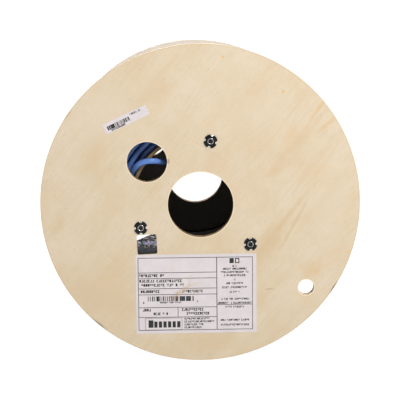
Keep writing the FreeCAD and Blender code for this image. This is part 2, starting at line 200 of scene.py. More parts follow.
class Finish:
    """Short-hand for building one node material on Object coordinates."""

    def __init__(self, name):
        self.material = bpy.data.materials.new(name)
        self.material.use_nodes = True
        self.tree = self.material.node_tree
        self.shader = self.tree.nodes["Principled BSDF"]
        source = self.add("ShaderNodeTexCoord")
        self.coords = source.outputs["Object"]
        self.normal = source.outputs["Normal"]
        self.ragged = None

    def add(self, kind, **settings):
        node = self.tree.nodes.new(kind)
        for key, value in settings.items():
            setattr(node, key, value)
        return node

    def feed(self, socket, value):
        if isinstance(value, bpy.types.NodeSocket):
            self.tree.links.new(value, socket)
        else:
            socket.default_value = value

    def set(self, **values):
        """Set or link the shader's own sockets; an underscore stands for a space."""
        for key, value in values.items():
            if isinstance(value, (tuple, Vector)) and len(value) == 3:
                value = (*value, 1)
            self.feed(self.shader.inputs[key.replace("_", " ")], value)

    def moved(self, coords, place=(0, 0, 0), turn=(0, 0, 0), scale=(1, 1, 1)):
        node = self.add("ShaderNodeMapping")
        self.feed(node.inputs["Vector"], coords)
        self.feed(node.inputs["Location"], place)
        self.feed(node.inputs["Rotation"], turn)
        self.feed(node.inputs["Scale"], scale)
        return node.outputs[0]

    def noise(self, coords, scale, detail=2.0, roughness=0.5, distortion=0.0):
        node = self.add("ShaderNodeTexNoise")
        self.feed(node.inputs["Vector"], coords)
        self.feed(node.inputs["Scale"], scale)
        self.feed(node.inputs["Detail"], detail)
        self.feed(node.inputs["Roughness"], roughness)
        self.feed(node.inputs["Distortion"], distortion)
        return node.outputs["Fac"]

    def calc(self, operation, a, b=0.0):
        node = self.add("ShaderNodeMath", operation=operation)
        self.feed(node.inputs[0], a)
        self.feed(node.inputs[1], b)
        return node.outputs[0]

    def spread(self, value, low, high, to_low=0.0, to_high=1.0):
        """Map low..high of a value smoothly onto to_low..to_high."""
        node = self.add("ShaderNodeMapRange", interpolation_type="SMOOTHSTEP")
        for index, number in enumerate((value, low, high, to_low, to_high)):
            self.feed(node.inputs[index], number)
        return node.outputs[0]

    def mix(self, factor, a, b, blend="MIX"):
        node = self.add("ShaderNodeMix", data_type="RGBA", blend_type=blend)
        self.feed(node.inputs[0], factor)
        for index, colour in ((6, a), (7, b)):
            if not isinstance(colour, bpy.types.NodeSocket):
                colour = (*colour[:3], 1)
            self.feed(node.inputs[index], colour)
        return node.outputs[2]

    def axes(self, coords):
        node = self.add("ShaderNodeSeparateXYZ")
        self.feed(node.inputs[0], coords)
        return node.outputs

    def away(self, place):
        """Distance in the front view from a point, given as X and Z."""
        flat = self.moved(self.coords, scale=(1, 0, 1))
        node = self.add("ShaderNodeVectorMath", operation="DISTANCE")
        self.feed(node.inputs[0], flat)
        self.feed(node.inputs[1], (place[0], 0, place[1]))
        return node.outputs["Value"]

    def blotch(self, place, angle, length, width):
        """Soft oval patch at X, Z: 1 at its middle, 0 past its edge, ragged in between."""
        centred = self.moved(self.coords, place=(-place[0], 0, -place[1]), scale=(1, 0, 1))
        turned = self.moved(centred, turn=(0, angle, 0))
        oval = self.moved(turned, scale=(1 / length, 1, 1 / width))
        node = self.add("ShaderNodeVectorMath", operation="LENGTH")
        self.feed(node.inputs[0], oval)
        if self.ragged is None:
            self.ragged = self.calc("MULTIPLY", self.noise(self.coords, 90, 3), 0.9)
        reach = self.calc("ADD", node.outputs["Value"], self.ragged)
        return self.spread(reach, 1.45, 0.45)

    def dots(self, scale, radius):
        """Small round spots, one to each random cell of 1 / scale metres."""
        node = self.add("ShaderNodeTexVoronoi")
        self.feed(node.inputs["Vector"], self.moved(self.coords, scale=(1, 0, 1)))
        self.feed(node.inputs["Scale"], scale)
        return self.spread(node.outputs["Distance"], radius * scale, radius * scale * 0.5)

    def bump(self, height, strength, distance=0.2 * MM, after=None):
        node = self.add("ShaderNodeBump")
        self.feed(node.inputs["Strength"], strength)
        self.feed(node.inputs["Distance"], distance)
        self.feed(node.inputs["Height"], height)
        if after is not None:
            self.feed(node.inputs["Normal"], after)
        return node.outputs[0]


def tint(colour, *factors):
    """A colour with its channels multiplied, by one factor or by three."""
    factors = factors * 3 if len(factors) == 1 else factors
    return tuple(c * f for c, f in zip(colour, factors))


def plywood(name, colours, angle, offset, patches, chips, paint_inner_light=False):
    """Rotary cut face veneer with soft bands, fibres, pores, painted highlights round the holes and
    ply edges.

    patches are (place, angle, length, width, colour factors, strength), and chips leave out the
    last.
    The last argument paints light on the inner face, and a bluish painted shade inside the drum.
    """
    wood = Finish(name)
    base = tuple(colours.plywood)
    turned = wood.moved(wood.moved(wood.coords, scale=(1, 0, 1)), place=(offset, 0, offset),
                        turn=(0, angle, 0))
    fibre = wood.noise(wood.moved(turned, scale=(14, 1, 620)), 1, 5, 0.62)
    bands = wood.noise(wood.moved(turned, scale=(5, 1, 62)), 1, 4, 0.6, 0.3)
    clouds = wood.noise(turned, 15, 6, 0.66)
    warmth = wood.noise(wood.moved(turned, place=(3.1, 0, 1.7)), 24, 4, 0.65)
    mottle = wood.noise(wood.moved(turned, scale=(0.4, 1, 1.8)), 200, 4, 0.72)
    pores = wood.noise(wood.moved(turned, scale=(170, 1, 1300)), 1, 2)
    colour = wood.mix(wood.spread(clouds, 0.34, 0.70), tint(base, 1.03, 1.05, 1.09),
                      tint(base, 0.96, 0.93, 0.87))
    # Each veil of figure: its value, where it starts and is full, its strength and colour factors.
    veils = (
        (mottle, 0.42, 0.68, 0.40, (0.92, 0.88, 0.79)),
        (warmth, 0.54, 0.74, 0.6, (1.02, 0.91, 0.79)),
        (bands, 0.48, 0.66, 0.35, (0.92, 0.86, 0.74)),
        (fibre, 0.50, 0.76, 0.42, (0.86, 0.80, 0.68)),
        (pores, 0.66, 0.80, 0.35, (0.66, 0.56, 0.42)),
    )
    for figure, low, high, strength, factors in veils:
        colour = wood.mix(wood.spread(figure, low, high, 0, strength), colour, tint(base, *factors))
    darker_mottle = wood.spread(mottle, 0.40, 0.50, 0, 0.75)
    specks = wood.calc("MULTIPLY", wood.dots(95, 0.8 * MM), darker_mottle)
    colour = wood.mix(specks, colour, tint(base, 0.58, 0.48, 0.34))
    for place, lean, length, width, factors, strength in patches:
        patch = wood.calc("MULTIPLY", wood.blotch(place, lean, length, width), strength)
        colour = wood.mix(patch, colour, tint(base, *factors))
    for place, lean, length, width, factors in chips:
        colour = wood.mix(wood.blotch(place, lean, length, width), colour, tint(base, *factors))
    # Painted highlight: a lighter ring round each hole, where the broken edge catches the light.
    light = tint(base, 1.22, 1.23, 1.24)
    holes = (((START_X, START_Z), START_RADIUS), ((DRIVE_X, DRIVE_Z), DRIVE_RADIUS),
             ((0, 0), ARBOR_RADIUS))
    for place, radius in holes:
        ring = wood.spread(wood.calc("ABSOLUTE", wood.calc("SUBTRACT", wood.away(place), radius)),
                           1.7 * MM, 0.6 * MM, 0, 0.8)
        colour = wood.mix(ring, colour, light)
    rim = wood.spread(wood.away((0, 0)), FLANGE_RADIUS - 2.2 * MM, FLANGE_RADIUS - 0.8 * MM, 0, 0.3)
    colour = wood.mix(rim, colour, tint(base, 0.86, 0.74, 0.56))
    # The plies show on every face that runs across the board, such as the rim and the bores.
    across = wood.calc("LESS_THAN", wood.calc("ABSOLUTE", wood.axes(wood.normal)[1]), 0.4)
    depth = wood.axes(wood.coords)[1]
    ply = wood.calc("PINGPONG", depth, BOARD / 5)
    ply_colour = wood.mix(wood.spread(ply, 0.2 * MM, 1.3 * MM), tint(base, 0.90, 0.83, 0.74),
                          tint(base, 1.12, 1.12, 1.12))
    end_grain = wood.noise(wood.moved(wood.coords, scale=(260, 900, 260)), 1, 3)
    ply_colour = wood.mix(wood.spread(end_grain, 0.45, 0.75, 0, 0.4), ply_colour,
                          tint(base, 0.74, 0.62, 0.48))
    # Painted shade: the walls of the arbor bore and the start hole, inside this circle, are darker
    # than the rim.
    painted_hole_shade = wood.spread(wood.away((0, 0)), 120 * MM, 118 * MM)
    ply_colour = wood.mix(painted_hole_shade, ply_colour, tint(base, 0.40, 0.31, 0.20))
    colour = wood.mix(across, colour, ply_colour)
    # Painted light: the whole inner face is lightened. Inside the drum it takes a flat bluish tone
    # instead, as painted shade.
    if paint_inner_light:
        core = wood.spread(wood.away((0, 0)), TUBE_RADIUS - 3.5 * MM, TUBE_RADIUS - 4.2 * MM)
        inside = wood.calc("LESS_THAN", wood.axes(wood.coords)[1], INNER_REAR + 1 * MM)
        colour = wood.mix(inside, colour, wood.mix(1.0, colour, (1.30, 1.36, 1.45), "MULTIPLY"))
        colour = wood.mix(wood.calc("MULTIPLY", core, inside), colour, tint(base, 0.90, 0.97, 1.15))
    relief = wood.bump(fibre, 0.16)
    relief = wood.bump(pores, 0.10, 0.1 * MM, relief)
    wood.set(Base_Color=colour, Roughness=wood.spread(clouds, 0.3, 0.7, 0.56, 0.68),
             Normal=relief, Specular_IOR_Level=0.25)
    return wood.material


def tube_board(colours):
    """Spiral wound board: seams up the wall, thin layers on the cut ends."""
    board = Finish("Spiral wound board")
    base = tuple(colours.tube_board)
    x, y, z = board.axes(board.coords)
    turn = board.calc("DIVIDE", board.calc("ARCTAN2", z, x), 2 * math.pi)
    climb = board.calc("DIVIDE", y, SPIRAL_PITCH)
    seam = board.calc("PINGPONG", board.calc("ADD", turn, climb), 0.5)
    flat = board.moved(board.coords, scale=(1, 0, 1))
    length = board.add("ShaderNodeVectorMath", operation="LENGTH")
    board.feed(length.inputs[0], flat)
    ringing = board.add("ShaderNodeTexNoise", noise_dimensions="1D")
    rings_per_metre = 2600
    rings = board.calc("MULTIPLY", length.outputs["Value"], rings_per_metre)
    board.feed(ringing.inputs["W"], rings)
    board.feed(ringing.inputs["Detail"], 1.0)
    across = board.calc("GREATER_THAN", board.calc("ABSOLUTE", board.axes(board.normal)[1]), 0.6)
    fibres = board.noise(board.moved(board.coords, scale=(1, 3, 1)), 260, 4, 0.65)
    colour = board.mix(board.spread(fibres, 0.3, 0.75), tint(base, 0.75), tint(base, 1.2))
    colour = board.mix(board.spread(seam, 0.02, 0.0, 0, 0.8), colour, tint(base, 0.35))
    inside = board.spread(length.outputs["Value"], TUBE_RADIUS - 3 * MM, TUBE_RADIUS - 3.9 * MM)
    shaded_lining = (0.024, 0.023, 0.023)
    colour = board.mix(inside, colour, shaded_lining)
    cut = board.mix(board.spread(ringing.outputs["Fac"], 0.35, 0.65), tint(base, 0.70, 0.66, 0.6),
                    tint(base, 1.55, 1.5, 1.45))
    colour = board.mix(across, colour, cut)
    board.set(Base_Color=colour, Roughness=0.82, Specular_IOR_Level=0.2,
              Normal=board.bump(fibres, 0.25))
    return board.material


def cable_jacket(name, colours, shade=(1, 1, 1)):
    """Satin blue jacket: faint dimples, drag marks and a little dust in the hollows."""
    jacket = Finish(name)
    # shade scales the jacket's colour, for lit and shaded copies of the one jacket: painted light
    # and shade.
    base = tint(tuple(colours.jacket), *shade)
    patchy = jacket.noise(jacket.coords, 45, 3, 0.6)
    dimples = jacket.noise(jacket.coords, 1500, 2)
    waviness = jacket.noise(jacket.coords, 170, 2)
    colour = jacket.mix(jacket.spread(patchy, 0.3, 0.72), tint(base, 0.86, 0.90, 0.94),
                        tint(base, 1.22, 1.12, 1.05))
    dusty = jacket.spread(dimples, 0.62, 0.8, 0, 0.2)
    colour = jacket.mix(dusty, colour, tint(base, 2.2, 1.6, 1.25))
    relief = jacket.bump(waviness, 0.22, 0.3 * MM)
    jacket.set(Base_Color=colour, Roughness=jacket.spread(patchy, 0.3, 0.7, 0.34, 0.48),
               Normal=jacket.bump(dimples, 0.08, 0.1 * MM, relief), Specular_IOR_Level=0.45)
    return jacket.material


def plated_metal(name, base, metallic, rough_low, rough_high, stain=None):
    """Thin plating over steel, with cloudy roughness, handling marks and stained patches."""
    metal = Finish(name)
    clouds = metal.noise(metal.coords, 420, 3, 0.6)
    marks = metal.noise(metal.moved(metal.coords, scale=(1, 6, 1)), 900, 2)
    colour = metal.mix(metal.spread(clouds, 0.3, 0.7), tint(base, 0.75), tint(base, 1.3))
    if stain:
        colour = metal.mix(metal.spread(marks, 0.5, 0.72, 0, 0.7), colour, stain)
    metal.set(Base_Color=colour, Metallic=metallic, Normal=metal.bump(marks, 0.12, 0.05 * MM),
              Roughness=metal.spread(clouds, 0.3, 0.7, rough_low, rough_high))
    return metal.material


def label_paper(name, colours, scuffs=()):
    """Matt label stock with faint fibre mottling and any rubbed brown scuffs."""
    paper = Finish(name)
    base = tuple(colours.paper)
    mottle = paper.noise(paper.coords, 60, 4, 0.6)
    fibres = paper.noise(paper.coords, 1400, 2)
    colour = paper.mix(paper.spread(mottle, 0.3, 0.7), tint(base, 0.965, 0.96, 0.955),
                       tint(base, 1.03))
    torn = paper.spread(paper.noise(paper.coords, 420, 3, 0.7), 0.36, 0.60)
    for place, lean, length, width, shade, strength in scuffs:
        worn = paper.calc("MULTIPLY", paper.blotch(place, lean, length, width), torn)
        colour = paper.mix(paper.calc("MULTIPLY", worn, strength), colour, shade)
    paper.set(Base_Color=colour, Roughness=0.55, Specular_IOR_Level=0.35,
              Normal=paper.bump(fibres, 0.06, 0.05 * MM))
    return paper.material


def printing_ink(colours, scuffs):
    """Thermal print, patchily dense and rubbed away across the scuff."""
    ink = Finish("Label ink")
    base = tuple(colours.ink)
    density = ink.noise(ink.coords, 500, 2)
    colour = ink.mix(ink.spread(density, 0.5, 0.8, 0, 0.5), base, tint(base, 3))
    for place, lean, length, width, shade, strength in scuffs:
        rubbed = ink.calc("MULTIPLY", ink.blotch(place, lean, length, width), 0.6 * strength)
        colour = ink.mix(rubbed, colour, shade)
    ink.set(Base_Color=colour, Roughness=0.5, Specular_IOR_Level=0.3)
    return ink.material


def seal_film(place):
    """Metallised film with a fine diagonal ruling, coloured bands and one painted bright
    reflection.
    """
    film = Finish("Seal film")
    x, _, z = film.axes(film.moved(film.coords, place=(-place.x, 0, -place.z)))
    clouds = film.noise(film.coords, 260, 3, 0.6)
    hue = film.calc("ADD", film.calc("MULTIPLY", z, 55), film.calc("MULTIPLY", clouds, 0.9))
    swing = film.calc("SINE", film.calc("MULTIPLY", hue, 9))
    colour = film.mix(film.spread(swing, -1, 1), (0.016, 0.017, 0.017), (0.040, 0.039, 0.044))
    ruling = film.moved(film.coords, turn=(0, 0.4, 0), scale=(0.6, 1, 1.7))
    flecks = film.noise(ruling, 520, 2, 0.6)
    upper = film.spread(z, -4.5 * MM, -2.5 * MM)
    pale = film.calc("MULTIPLY", film.spread(flecks, 0.545, 0.575), upper)
    colour = film.mix(film.calc("MULTIPLY", pale, 0.9), colour, (0.34, 0.31, 0.29))
    dark = film.calc("MULTIPLY", film.spread(flecks, 0.46, 0.40), upper)
    colour = film.mix(dark, colour, (0.008, 0.008, 0.009))
    off_band = film.calc("ABSOLUTE", film.calc("SUBTRACT", z, 1.8 * MM))
    band = film.spread(off_band, 2.4 * MM, 1.2 * MM)
    green = film.spread(film.calc("ABSOLUTE", film.calc("ADD", x, 6 * MM)), 1.8 * MM, 1.0 * MM)
    glow = film.mix(green, (0.31, 0.29, 0.43), (0.03, 0.10, 0.05))
    speckled = film.calc("MULTIPLY", band, film.spread(flecks, 0.42, 0.54, 0.15, 0.95))
    colour = film.mix(speckled, colour, glow)
    # Painted reflection: a bright patch across the seal's top corner.
    slant = film.calc("SUBTRACT", z, film.calc("MULTIPLY", x, 0.43))
    painted_flare = film.spread(slant, 10.2 * MM, 11.0 * MM)
    colour = film.mix(painted_flare, colour, (0.88, 0.88, 0.90))
    film.set(Base_Color=colour, Specular_IOR_Level=0.2, Coat_Weight=0.05, Coat_Roughness=0.15,
             Roughness=film.spread(clouds, 0.3, 0.7, 0.30, 0.45),
             Normal=film.bump(flecks, 0.15, 0.05 * MM))
    return film.material


def crepe_tape():
    """Creped paper tape: cross ridges, mottled straw colour."""
    tape = Finish("Crepe tape")
    ridges = tape.noise(tape.moved(tape.coords, scale=(1, 0.15, 1)), 900, 3, 0.6)
    mottle = tape.noise(tape.coords, 80, 3)
    colour = tape.mix(tape.spread(mottle, 0.3, 0.7), (0.60, 0.50, 0.28), (0.70, 0.61, 0.38))
    colour = tape.mix(tape.spread(ridges, 0.5, 0.8, 0, 0.4), colour, (0.45, 0.36, 0.18))
    tape.set(Base_Color=colour, Roughness=0.7, Normal=tape.bump(ridges, 0.5, 0.2 * MM))
    return tape.material


def plain_plastic(name, base, roughness=0.45):
    """Small moulded or extruded plastic with a slight mottle."""
    plastic = Finish(name)
    mottle = plastic.noise(plastic.coords, 700, 2)
    colour = plastic.mix(plastic.spread(mottle, 0.3, 0.7), tint(base, 0.88), tint(base, 1.1))
    plastic.set(Base_Color=colour, Roughness=roughness, Normal=plastic.bump(mottle, 0.1, 0.05 * MM))
    return plastic.material


# ---------------------------------------------------------------- bench tools


def only(obj):
    """Make obj the one selected and active object."""
    bpy.ops.object.select_all(action="DESELECT")
    obj.select_set(True)
    bpy.context.view_layer.objects.active = obj


def fix_place(obj):
    """Put an object's place, turn and scale into its mesh."""
    only(obj)
    bpy.ops.object.transform_apply(location=True, rotation=True, scale=True)
    return obj


def named(name):
    obj = bpy.context.object
    obj.name = name
    obj.data.name = name
    return obj


def primitive(kind, name, **settings):
    """Add one of Blender's mesh primitives on its own."""
    bpy.ops.object.select_all(action="DESELECT")
    getattr(bpy.ops.mesh, "primitive_%s_add" % kind)(**settings)
    return named(name)


def apply_modifier(obj, kind, **settings):
    """Put one modifier on an object and into its mesh."""
    only(obj)
    modifier = obj.modifiers.new(kind.lower(), kind)
    for key, value in settings.items():
        setattr(modifier, key, value)
    bpy.ops.object.modifier_apply(modifier=modifier.name)
    return obj


def disc(name, radius, low, high, x=0.0, up=0.0, vertices=96):
    """Solid cylinder in the front view, from height low to high out of the front."""
    return fix_place(primitive("cylinder", name, vertices=vertices, radius=radius,
                               depth=high - low, location=(x, up, (low + high) / 2)))


def combine(obj, tool, operation="DIFFERENCE"):
    """Cut a tool out of obj, or weld it on, and take the tool away."""
    apply_modifier(obj, "BOOLEAN", object=tool, operation=operation, solver="EXACT")
    bpy.data.objects.remove(tool, do_unlink=True)
    return obj


def break_edges(obj, width, segments=2):
    return apply_modifier(obj, "BEVEL", width=width, segments=segments, limit_method="ANGLE",
                          angle_limit=EDGE_ANGLE, use_clamp_overlap=True)


def smooth(obj, angle=32):
    only(obj)
    bpy.ops.object.shade_smooth_by_angle(angle=math.radians(angle))
    return obj


def join(name, parts):
    bpy.ops.object.select_all(action="DESELECT")
    for part in parts:
        part.select_set(True)
    bpy.context.view_layer.objects.active = parts[0]
    bpy.ops.object.join()
    return named(name)


def stand(obj, x=0.0, y=0.0, z=0.0, turn=0.0):
    """Turn a piece drawn in the front view into the reel's frame, about its own origin first."""
    obj.matrix_world = (Matrix.Translation((x, y, z)) @ FRONT_VIEW
                        @ Matrix.Rotation(turn, 4, "Z"))
    return fix_place(obj)


def settle(obj, material, slot, *nodes):
    """Give a finished piece its material and its body, and hide the nodes that it stands for. slot
    is not used.
    """
    obj.data.materials.clear()
    obj.data.materials.append(material)
    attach(obj, BODY)
    if nodes:
        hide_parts(*nodes)
    return obj


def wear(obj, slot, *nodes):
    """Settle a joined piece that already has its materials."""
    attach(obj, BODY)
    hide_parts(*nodes)
    return obj


def round_curve(name, kind, places, radius, bevel_resolution):
    """Curve object with one round, capped spline, and that spline."""
    curve = bpy.data.curves.new(name, "CURVE")
    curve.dimensions = "3D"
    curve.bevel_depth = radius
    curve.bevel_resolution = bevel_resolution
    curve.use_fill_caps = True
    line = curve.splines.new(kind)
    line.points.add(len(places) - 1)
    for point, place in zip(line.points, places):
        point.co = (*place, 1)
    obj = bpy.data.objects.new(name, curve)
    bpy.context.collection.objects.link(obj)
    return obj, line


def tube_along(name, points, radius, sides):
    """Round tube along closely spaced points, made as a bevelled curve and turned to a mesh."""
    obj, line = round_curve(name, "POLY", points, radius, (sides - 4) // 2)
    obj.data.twist_mode = "MINIMUM"
    line.use_smooth = True
    only(obj)
    bpy.ops.object.convert(target="MESH")
    return smooth(named(name), 60)


def finishes(context):
    """The scene's sizes and colours."""
    return context.scene.reel_sizes, context.scene.reel_colours


# ---------------------------------------------------------------- boards and drum


def make_board(name, outer_face, inner_face, arris, nut_holes):
    """Round board with its bores and the tube's groove, between two planes of the reel."""
    outward = -1 if outer_face < inner_face else 1
    low, high = sorted((-outer_face, -inner_face))
    board = disc(name, FLANGE_RADIUS, low, high, vertices=480)
    holes = [(0, 0, ARBOR_RADIUS, 128), (START_X, START_Z, START_RADIUS, 96),
             (DRIVE_X, DRIVE_Z, DRIVE_RADIUS, 64)]
    bolt_radius = NUT_SEAT_RADIUS if nut_holes else BOLT_HOLE_RADIUS
    holes += [(place.x, place.z, bolt_radius, 32) for place in NUT_PLACES]
    for x, up, radius, vertices in holes:
        combine(board, disc("cutter", radius, low - CUT_OVER, high + CUT_OVER, x, up, vertices))
    floor = -(inner_face + outward * GROOVE_DEPTH)
    groove_low, groove_high = sorted((floor, -(inner_face - outward * CUT_OVER)))
    groove = disc("cutter", TUBE_RADIUS + 0.2 * MM, groove_low, groove_high, vertices=160)
    core = disc("core", TUBE_RADIUS - 4.2 * MM, groove_low - CUT_OVER, groove_high + CUT_OVER,
                vertices=160)
    combine(board, combine(groove, core))
    return break_edges(board, arris)


def nick(board, x, up, face, size, turn):
    """Take a shallow crushed hollow out of a board's edge."""
    tool = fix_place(primitive("ico_sphere", "cutter", subdivisions=3, radius=1,
                               location=(x, up, face), rotation=(0, 0, turn), scale=size))
    noise.seed_set(DENT_SEED)
    for vertex in tool.data.vertices:
        vertex.co += 0.25 * min(size) * noise.noise_vector(vertex.co * 700)
    combine(board, tool)


def splinter(x, up, face):
    """Small curled chip lifted beside a hole."""
    chip = primitive("grid", "start_hole_splinter", x_subdivisions=8, y_subdivisions=14, size=1)
    for vertex in chip.data.vertices:
        across, along = vertex.co.x, vertex.co.y
        uneven = 0.25 * MM * noise.noise(Vector((along * 9, 0, 3)))
        width = 2.0 * MM * (1 - 1.3 * along * along) + uneven
        lift = 0.75 * MM * (across + 0.5) ** 2 + 0.15 * MM * math.cos(along * 7)
        bow = 0.5 * MM * along * along
        vertex.co = (x + across * width + bow, up + along * 4.6 * MM, face + lift)
    apply_modifier(chip, "SOLIDIFY", thickness=0.25 * MM)
    return stand(smooth(chip, 50))


TAN, PALE, ORANGE = (0.93, 0.86, 0.75), (1.03, 1.05, 1.10), (0.97, 0.81, 0.60)

# Natural marks in the front veneer, in millimetres and degrees: X, Z, lean, length, width,
# colour factors and strength.
FRONT_PATCHES = (
    (-118, 118, 45, 85, 50, PALE, 0.6),
    (62, 112, 45, 60, 40, PALE, 0.5),
    (162, 0, 80, 65, 34, PALE, 0.5),
    (-150, -15, 70, 60, 30, PALE, 0.4),
    (-112, -112, 50, 95, 60, TAN, 0.45),
    (0, -178, 15, 100, 26, TAN, 0.5),
    (86, -50, 53, 60, 20, (0.90, 0.82, 0.69), 0.8),
    (103, -23, 52, 82, 6, (0.90, 0.81, 0.67), 0.75),
    (117, -26, 62, 70, 3.5, (0.86, 0.76, 0.60), 0.6),
    (92, 43, 42, 24, 11, (0.92, 0.80, 0.64), 0.6),
    (120, 78, 48, 62, 10, TAN, 0.7),
    (145, 118, 55, 34, 4, ORANGE, 0.75),
    (158, 101, 40, 30, 4, ORANGE, 0.65),
    (-52, 141, 30, 34, 18, TAN, 0.6),
    (12, 51, 65, 26, 13, TAN, 0.7),
    (-132, 62, 60, 40, 17, TAN, 0.6),
    (112, 88, 60, 24, 15, (0.99, 0.89, 0.77), 0.7),
    (142, -84, 40, 28, 18, (0.96, 0.85, 0.70), 0.7),
    (-178, -24, 80, 26, 12, TAN, 0.6),
    (12, 67, -31, 66, 0.9, (0.84, 0.76, 0.62), 0.5),
    (-30, 150, -62, 30, 0.7, (0.84, 0.76, 0.62), 0.4),
    (70, 95, 38, 40, 0.8, (0.86, 0.78, 0.66), 0.45),
)
# Small dark or bright marks, in millimetres and degrees: X, Z, lean, length, width and
# colour factors.
FRONT_CHIPS = (
    (-128, -152.6, -40, 15, 2.6, (0.30, 0.24, 0.17)),
    (168.6, -106.2, 58, 13, 2.0, (0.34, 0.26, 0.18)),
    (-164, 112.8, 55, 12, 2.0, (0.70, 0.58, 0.42)),
    (-40.3, 54.6, 82, 5, 2.2, (0.70, 0.55, 0.38)),
    (17.5, -37.5, 0, 3, 2, (1.4, 1.5, 1.6)),
    (88, -108, 6, 9, 1.3, (0.62, 0.50, 0.38)),
    (27, 184, 30, 3.2, 2.4, (1.02, 0.76, 0.40)),
    (102, 141, 30, 3.2, 2.6, (1.02, 0.76, 0.40)),
)


class REEL_OT_front_board(bpy.types.Operator):
    """Front board, with rim dents and a splinter at the start hole"""

    bl_idname = "reel.front_board"
    bl_label = "Front board"

    def execute(self, context):
        sizes, colours = finishes(context)
        board = make_board("front_board", FRONT_FACE, INNER_FRONT, sizes.arris, True)
        face = -FRONT_FACE
        nick(board, -0.1283, -0.1529, face, (0.9 * MM, 8 * MM, 0.9 * MM), math.radians(50))
        nick(board, 0.1688, -0.1063, face, (0.7 * MM, 7 * MM, 0.7 * MM), math.radians(-32.2))
        nick(board, START_X + START_RADIUS + 0.3 * MM, START_Z + 1 * MM, face,
             (1.1 * MM, 2.6 * MM, 0.6 * MM), math.radians(4))
        nick(board, 0.0175, -0.0375, face, (0.9 * MM, 1.2 * MM, 0.6 * MM), math.radians(20))
        stand(smooth(board, 20))
        patches = [((x * MM, z * MM), math.radians(turn), length * MM, width * MM, factors,
                    strength) for x, z, turn, length, width, factors, strength in FRONT_PATCHES]
        chips = [((x * MM, z * MM), math.radians(turn), length * MM, width * MM, factors)
                 for x, z, turn, length, width, factors in FRONT_CHIPS]
        wood = plywood("Front board plywood", colours, sizes.grain_angle, 0.0, patches, chips)
        settle(board, wood, "plywood", "front_flange")
        chip = splinter(START_X + START_RADIUS + 1.5 * MM, START_Z + 1 * MM, face)
        settle(chip, wood, "plywood")
        return {"FINISHED"}


class REEL_OT_rear_board(bpy.types.Operator):
    """Rear board, under the bolt heads"""

    bl_idname = "reel.rear_board"
    bl_label = "Rear board"

    def execute(self, context):
        sizes, colours = finishes(context)
        board = make_board("rear_board", REAR_FACE, INNER_REAR, sizes.arris, False)
        back = -REAR_FACE
        nick(board, 0.150, 0.1325, back, (1.8 * MM, 5 * MM, 0.9 * MM), math.radians(41))
        nick(board, -0.1845, -0.0775, back, (1.2 * MM, 7 * MM, 0.8 * MM), math.radians(23))
        stand(smooth(board, 20))
        patches = [((-0.090, 0.090), math.radians(-32), 0.100, 0.024, (0.95, 0.87, 0.76), 0.4),
                   ((0.100, -0.110), math.radians(-28), 0.090, 0.020, (0.98, 0.86, 0.70), 0.4)]
        chips = [((0.150, 0.1325), math.radians(-49), 9 * MM, 3 * MM, (0.5, 0.4, 0.3))]
        wood = plywood("Rear board plywood", colours, math.radians(-30), 0.37, patches, chips,
                       paint_inner_light=True)
        settle(board, wood, "plywood", "rear_flange")
        return {"FINISHED"}


class REEL_OT_drum_tube(bpy.types.Operator):
    """Board tube between the flanges"""

    bl_idname = "reel.drum_tube"
    bl_label = "Drum tube"

    def execute(self, context):
        _, colours = finishes(context)
        low, high = -TUBE_BOX[1].y, -TUBE_BOX[0].y
        tube = disc("wound_tube", TUBE_RADIUS, low, high, vertices=192)
        combine(tube, disc("cutter", TUBE_RADIUS - TUBE_WALL, low - CUT_OVER, high + CUT_OVER,
                           vertices=192))
        break_edges(tube, 0.35 * MM)
        stand(smooth(tube, 30))
        settle(tube, tube_board(colours), "drum_board", "drum_tube")
        return {"FINISHED"}


# ---------------------------------------------------------------- fasteners


def make_tee_nut(name, bore, black, bright, worn):
    """Four lobed plate with bent prongs, a rolled ring round the bore and a barrel behind."""
    plate_radius, prong_reach = 8.5 * MM, 6.75 * MM
    plate = disc(name, plate_radius, 0, 0.9 * MM)
    prongs = []
    for quarter in range(4):
        angle = quarter * math.pi / 2
        x, up = math.cos(angle), math.sin(angle)
        combine(plate, disc("notch", 2.35 * MM, -MM, 2 * MM, plate_radius * x, plate_radius * up,
                            vertices=32))
        prong = fix_place(primitive(
            "cube", "prong", size=1, location=(prong_reach * x, prong_reach * up, -2.5 * MM),
            rotation=(0, 0, angle), scale=(1.5 * MM, 3.3 * MM, 6.8 * MM)))
        side, out = Vector((-up, x, 0)), Vector((x, up, 0))
        for vertex in prong.data.vertices:
            if vertex.co.z < -3 * MM:
                vertex.co -= side * vertex.co.dot(side) * 0.8
            elif vertex.co.dot(out) > prong_reach:
                vertex.co.z -= 0.5 * MM
        break_edges(prong, 0.4 * MM, 4)
        # The prongs take a much lighter metal than the plate: painted highlight for the glints at
        # their bends.
        prong.data.materials.append(bright)
        prongs.append(prong)
    combine(plate, disc("bore", bore + 0.9 * MM, -MM, 2 * MM, vertices=48))
    break_edges(plate, 0.30 * MM, 3)
    plate.data.materials.append(black)
    ring = fix_place(primitive("torus", "ring", major_segments=64, minor_segments=14,
                               major_radius=3.35 * MM, minor_radius=0.66 * MM,
                               location=(0, 0, 0.48 * MM)))
    ring.data.materials.append(worn)
    barrel = disc("barrel", 4.25 * MM, -9 * MM, 0.4 * MM, vertices=64)
    combine(barrel, disc("bore", bore, -10 * MM, 2 * MM, vertices=64))
    barrel.data.materials.append(black)
    nut = join(name, [plate, ring, barrel, *prongs])
    return smooth(nut, 40)


